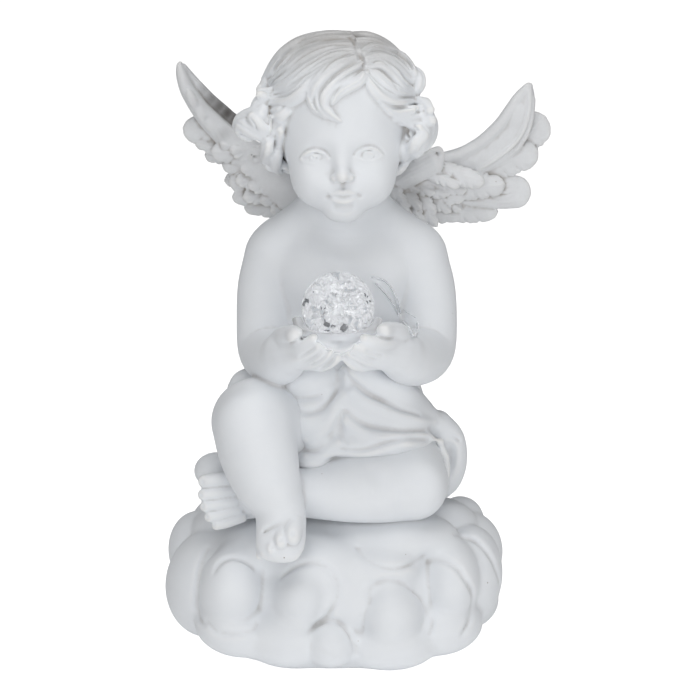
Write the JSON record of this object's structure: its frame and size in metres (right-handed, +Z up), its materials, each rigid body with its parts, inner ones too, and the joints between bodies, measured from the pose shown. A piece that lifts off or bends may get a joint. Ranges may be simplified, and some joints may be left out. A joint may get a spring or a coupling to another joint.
{
  "type": "angel figurine",
  "caption": "White resin cherub with spread wings, draped and seated on a lobed cloud, holding a clear crackle ball in cupped hands.",
  "frame": {"origin": "centre of the cloud's flat underside, on the surface it stands on", "axes": "+Z up, the child faces -Y, +X is the child's left"},
  "size_m": [0.1599, 0.13, 0.2497],
  "materials": {
    "white_resin": "matt white paint on cast resin, grey dust wash in the creases",
    "crackle_glass": "polished clear ball, crazed inside",
    "clear_glue": "smooth clear adhesive, slightly cloudy"
  },
  "bodies": {
    "root": {"angel_casting": "white_resin", "crystal_ball": "crackle_glass", "clear_glue_seat": "clear_glue"}
  },
  "joints": []
}
